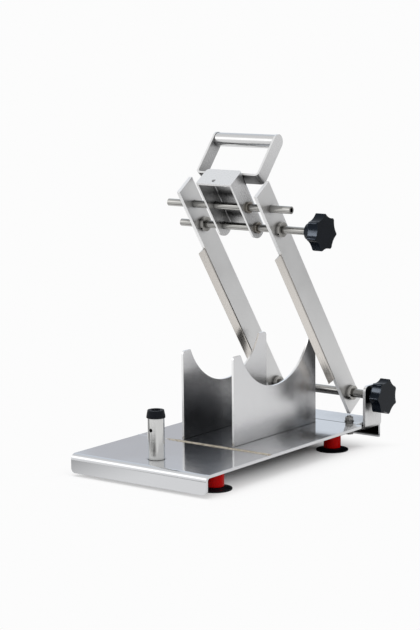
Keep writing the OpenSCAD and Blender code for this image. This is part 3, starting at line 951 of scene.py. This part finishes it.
def rectangle(name: str, half_w: float, half_h: float, material: bpy.types.Material) -> bpy.types.Object:
    """Builds a flat rectangle round its own middle.

    Args:
        name: Name of the object.
        half_w: Half of its width.
        half_h: Half of its height.
        material: Material that it gets.

    Returns:
        The rectangle, lying flat.
    """
    corners = [(-half_w, -half_h, 0), (half_w, -half_h, 0), (half_w, half_h, 0), (-half_w, half_h, 0)]
    data = bpy.data.meshes.new(name)
    data.from_pydata(corners, [], [(0, 1, 2, 3)])
    data.materials.append(material)
    return show(name, data)


@dataclass
class Card:
    """Soft-edged panel that only reflections see."""

    name: str
    place: Point
    aim: Point
    size: Span
    shade: str
    soft: float
    strength: float = 1.0

    def build(self) -> bpy.types.Object:
        """Builds the panel.

        Returns:
            The panel, facing its aim.
        """
        half_w, half_h = self.size[0] / 2, self.size[1] / 2
        material, tree = blank(f"studio_card_{self.name}")
        where = add(tree, "ShaderNodeTexCoord").outputs["Object"]
        share = add(tree, "ShaderNodeVectorMath", {0: where, 1: (half_w, half_h, 1.0)}, operation="DIVIDE")
        out = add(tree, "ShaderNodeVectorMath", {0: share.outputs[0]}, operation="ABSOLUTE")
        sides = add(tree, "ShaderNodeSeparateXYZ", {0: out.outputs[0]})
        rim = add(
            tree, "ShaderNodeMath", {0: sides.outputs["X"], 1: sides.outputs["Y"]}, operation="MAXIMUM"
        )
        fade = add(
            tree, "ShaderNodeMapRange",
            {"Value": rim.outputs[0], "From Min": 1.0 - self.soft, "From Max": 1.0},
            interpolation_type="SMOOTHSTEP",
        )
        plain = add(tree, "ShaderNodeEmission", {"Color": linear(self.shade), "Strength": self.strength})
        clear = add(tree, "ShaderNodeBsdfTransparent")
        surface = add(
            tree, "ShaderNodeMixShader", {0: fade.outputs[0], 1: plain.outputs[0], 2: clear.outputs[0]}
        )
        add(tree, "ShaderNodeOutputMaterial", {"Surface": surface.outputs[0]})
        panel = rectangle(self.name, half_w, half_h, material)
        panel.location = self.place
        panel.rotation_euler = (Vector(self.aim) - Vector(self.place)).to_track_quat("Z", "Y").to_euler()
        panel.visible_camera = False
        panel.visible_shadow = False
        panel.visible_diffuse = False
        return panel


@dataclass
class Lamp:
    """Soft rectangular lamp, which polished steel may mirror or not, for all nodes or only some."""

    name: str
    place: Point
    aim: Point
    size: Span
    power: float
    mirrored: bool
    only: tuple[str, ...] = ()

    def build(self) -> bpy.types.Object:
        """Builds the lamp.

        Returns:
            The lamp, facing its aim.
        """
        data = bpy.data.lights.new(self.name, "AREA")
        data.shape = "RECTANGLE"
        data.size, data.size_y = self.size
        data.energy = self.power
        lamp = show(self.name, data)
        lamp.visible_glossy = self.mirrored
        if self.only:
            lit = bpy.data.collections.new(f"{self.name}_lit")
            for node in self.only:
                lit.objects.link(frame["nodes"][node])
            lamp.light_linking.receiver_collection = lit
        lamp.location = self.place
        lamp.rotation_euler = (Vector(self.aim) - Vector(self.place)).to_track_quat("-Z", "Y").to_euler()
        return lamp


@dataclass
class Studio:
    """White floor, white room, lamps, and cards that give the steel the tones it mirrors."""

    floor_r: float = 9.0
    shade_in: float = 0.06
    shade_out: float = 0.05
    paper: tuple[str, str] = ("#f5f5f5", "#f9f9f9")
    fibre_mm: float = 3.0
    room: float = 0.45
    ceiling: float = 0.88
    ceiling_span: Span = (0.5, 0.95)
    behind: str = "#e5ecf5"
    behind_way: Point = (-0.6, 0.8, 0.0)
    behind_span: Span = (0.3, 0.85)
    lamps: list[Lamp] = field(default_factory=lambda: [
        Lamp("overhead", (-0.3, -0.6, 2.3), (0.0, 0.0, 0.1), (2.0, 2.0), 36.0, False),
        Lamp("right_fill", (1.7, -0.5, 0.8), (0.0, 0.0, 0.0), (1.0, 0.8), 6.0, False),
        Lamp("strip", (-1.25, -1.35, 1.15), (0.0, 0.0, 0.2), (1.4, 0.7), 4.6, False),
        Lamp(
            "knob_light", (-0.85, -1.0, 0.75), (0.15, 0.1, 0.2), (0.5, 0.7), 26.0, True,
            only=("rod_knob", "pivot_knob"),
        ),
    ])
    cards: list[Card] = field(default_factory=lambda: [
        Card("left_flag", (-0.62, -0.255, 0.003), (-0.62, -0.255, 1.0), (1.2, 0.24), "#8c8c8c", 0.45),
        Card("front_card", (-0.03, -0.365, 0.003), (-0.03, -0.365, 1.0), (0.36, 0.17), "#5c5c5c", 0.6),
        # Painted shade: a black panel under the base, which the rear lip and the feet mirror as the shade
        # beneath
        Card("under_flag", (0.0, 0.06, 0.003), (0.0, 0.06, 1.0), (0.26, 0.34), "#060606", 0.2),
        Card("back_left_card", (-0.67, 0.622, 0.19), (0.0, -0.1, 0.03), (0.34, 0.3), "#cbccd1", 0.5),
        Card("softbox", (-1.25, -1.35, 1.15), (0.0, 0.0, 0.2), (1.6, 1.5), WHITE, 0.85, strength=1.9),
        Card("right_card", (0.8, 1.05, 0.12), (0.0, 0.0, 0.12), (1.5, 0.26), "#c0c0c0", 0.2),
    ])

    def build(self) -> None:
        """Builds the whole set."""
        self.build_world()
        floor = self.build_floor()
        lamps = [lamp.build() for lamp in self.lamps]
        cards = [card.build() for card in self.cards]

    def seen(self, tree: bpy.types.NodeTree) -> bpy.types.NodeSocket:
        """Adds the test for rays that show a backdrop.

        Args:
            tree: Tree that gets the nodes.

        Returns:
            Socket that is one for camera, glossy and transmission rays.
        """
        path = add(tree, "ShaderNodeLightPath")
        two = add(
            tree, "ShaderNodeMath",
            {0: path.outputs["Is Camera Ray"], 1: path.outputs["Is Glossy Ray"]}, operation="MAXIMUM",
        )
        three = add(
            tree, "ShaderNodeMath",
            {0: two.outputs[0], 1: path.outputs["Is Transmission Ray"]}, operation="MAXIMUM",
        )
        return three.outputs[0]

    def build_world(self) -> None:
        """Makes a room that the camera sees as plain white.

        Reflections see it greyer overhead and bluish behind the object, and as light it is dimmer.
        """
        world = bpy.data.worlds.new("studio_room")
        bpy.context.scene.world = world
        world.use_nodes = True
        tree = world.node_tree
        tree.nodes.clear()
        way = add(tree, "ShaderNodeTexCoord").outputs["Generated"]
        height = add(tree, "ShaderNodeSeparateXYZ", {0: way}).outputs["Z"]
        overhead = add(
            tree, "ShaderNodeMapRange",
            {
                "Value": height, "From Min": self.ceiling_span[0], "From Max": self.ceiling_span[1],
                "To Min": 1.0, "To Max": self.ceiling,
            },
            interpolation_type="SMOOTHSTEP",
        )
        rearward = add(tree, "ShaderNodeVectorMath", {0: way, 1: self.behind_way}, operation="DOT_PRODUCT")
        rear = add(
            tree, "ShaderNodeMapRange",
            {
                "Value": rearward.outputs["Value"],
                "From Min": self.behind_span[0], "From Max": self.behind_span[1],
            },
            interpolation_type="SMOOTHSTEP",
        )
        camera = add(tree, "ShaderNodeLightPath").outputs["Is Camera Ray"]
        hidden = add(tree, "ShaderNodeMath", {0: 1.0, 1: camera}, operation="SUBTRACT")
        tinted = add(tree, "ShaderNodeMath", {0: rear.outputs[0], 1: hidden.outputs[0]}, operation="MULTIPLY")
        colour = add(
            tree, "ShaderNodeMix",
            {SHARE: tinted.outputs[0], FIRST: linear(WHITE), SECOND: linear(self.behind)}, data_type="RGBA",
        )
        shown = add(tree, "ShaderNodeMath", {0: overhead.outputs[0], 1: camera}, operation="MAXIMUM")
        level = add(
            tree, "ShaderNodeMapRange", {"Value": self.seen(tree), "To Min": self.room, "To Max": 1.0}
        )
        strength = add(
            tree, "ShaderNodeMath", {0: shown.outputs[0], 1: level.outputs[0]}, operation="MULTIPLY"
        )
        back = add(
            tree, "ShaderNodeBackground",
            {"Color": colour.outputs[MIXED], "Strength": strength.outputs[0]},
        )
        add(tree, "ShaderNodeOutputWorld", {"Surface": back.outputs[0]})

    def build_floor(self) -> bpy.types.Object:
        """Builds the floor, which keeps the shadow under the base and turns plain white beside it.

        Returns:
            The floor.
        """
        material, tree = blank("white_paper_sweep")
        where = add(tree, "ShaderNodeTexCoord").outputs["Object"]
        low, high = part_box("base_plate")
        middle, half = (low + high) / 2, (high - low) / 2
        centred = add(tree, "ShaderNodeVectorMath", {0: where, 1: middle}, operation="SUBTRACT")
        out = add(tree, "ShaderNodeVectorMath", {0: centred.outputs[0]}, operation="ABSOLUTE")
        past = add(tree, "ShaderNodeVectorMath", {0: out.outputs[0], 1: half}, operation="SUBTRACT")
        sides = add(tree, "ShaderNodeSeparateXYZ", {0: past.outputs[0]})
        away = add(
            tree, "ShaderNodeMath", {0: sides.outputs["X"], 1: sides.outputs["Y"]}, operation="MAXIMUM"
        )
        edge = add(
            tree, "ShaderNodeMapRange",
            {"Value": away.outputs[0], "From Min": -self.shade_in, "From Max": self.shade_out},
            interpolation_type="SMOOTHSTEP",
        )
        share = add(tree, "ShaderNodeMath", {0: edge.outputs[0], 1: self.seen(tree)}, operation="MULTIPLY")
        # Paper fibre barely darkens the white
        fibre = pattern(tree, self.fibre_mm, 2.0)
        tone = add(
            tree, "ShaderNodeMix",
            {SHARE: fibre, FIRST: linear(self.paper[0]), SECOND: linear(self.paper[1])}, data_type="RGBA",
        )
        paper = add(tree, "ShaderNodeBsdfDiffuse", {"Color": tone.outputs[MIXED]})
        white = add(tree, "ShaderNodeEmission", {"Color": linear(WHITE), "Strength": 1.0})
        both = add(
            tree, "ShaderNodeMixShader", {0: share.outputs[0], 1: paper.outputs[0], 2: white.outputs[0]}
        )
        add(tree, "ShaderNodeOutputMaterial", {"Surface": both.outputs[0]})
        return rectangle("studio_floor", self.floor_r, self.floor_r, material)


@dataclass
class PhotoCamera:
    """Camera fitted to the photograph, placed from the base's front edge."""

    azimuth: float = 37.07
    elevation: float = 9.10
    roll: float = -0.63
    distance_mm: float = 2691.8
    right_mm: float = 25.93
    up_mm: float = -45.0
    lens_px: float = 2012.95
    long_side_px: float = 630.0
    sensor_mm: float = 36.0
    aim_mm: Point = (0.0, 200.0, 120.0)

    def build(self) -> None:
        """Places the camera and makes it the scene's."""
        az, el, roll = (math.radians(a) for a in (self.azimuth, self.elevation, self.roll))
        back = Vector((math.sin(az) * math.cos(el), -math.cos(az) * math.cos(el), math.sin(el)))
        level = Vector((math.cos(az), math.sin(az), 0.0))
        rise = back.cross(level)
        right = level * math.cos(roll) + rise * math.sin(roll)
        up = rise * math.cos(roll) - level * math.sin(roll)
        low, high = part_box("base_plate")
        zero = Vector(((low.x + high.x) / 2, low.y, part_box("left_cradle_wall")[0].z))
        eye = zero + (
            Vector(self.aim_mm) + back * self.distance_mm - right * self.right_mm - up * self.up_mm
        ) * MM
        data = bpy.data.cameras.new("photo_camera")
        data.sensor_width = self.sensor_mm
        data.lens = self.lens_px / self.long_side_px * self.sensor_mm
        camera = show("photo_camera", data)
        turn = Matrix((right, up, back)).transposed().to_4x4()
        camera.matrix_world = Matrix.Translation(eye) @ turn
        bpy.context.scene.camera = camera


def main() -> None:
    """Builds the sub-assemblies in order."""
    logging.basicConfig(level=logging.INFO, format="%(message)s")
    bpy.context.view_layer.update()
    yoke = Yoke()
    arms = [BladeArm("left"), BladeArm("right")]
    knobs = [StarKnob("rod_knob"), StarKnob("pivot_knob")]
    for part in (Base(), StopPost(), Feet(), yoke, Lever(), *arms, *knobs):
        part.dress()
    for part in (WeldSeam(), PasteLines(), yoke, *arms, Studio(), PhotoCamera()):
        part.build()
        LOG.info("built %s", type(part).__name__)
    bpy.context.scene.view_settings.view_transform = "Standard"


if __name__ == "__main__":
    main()
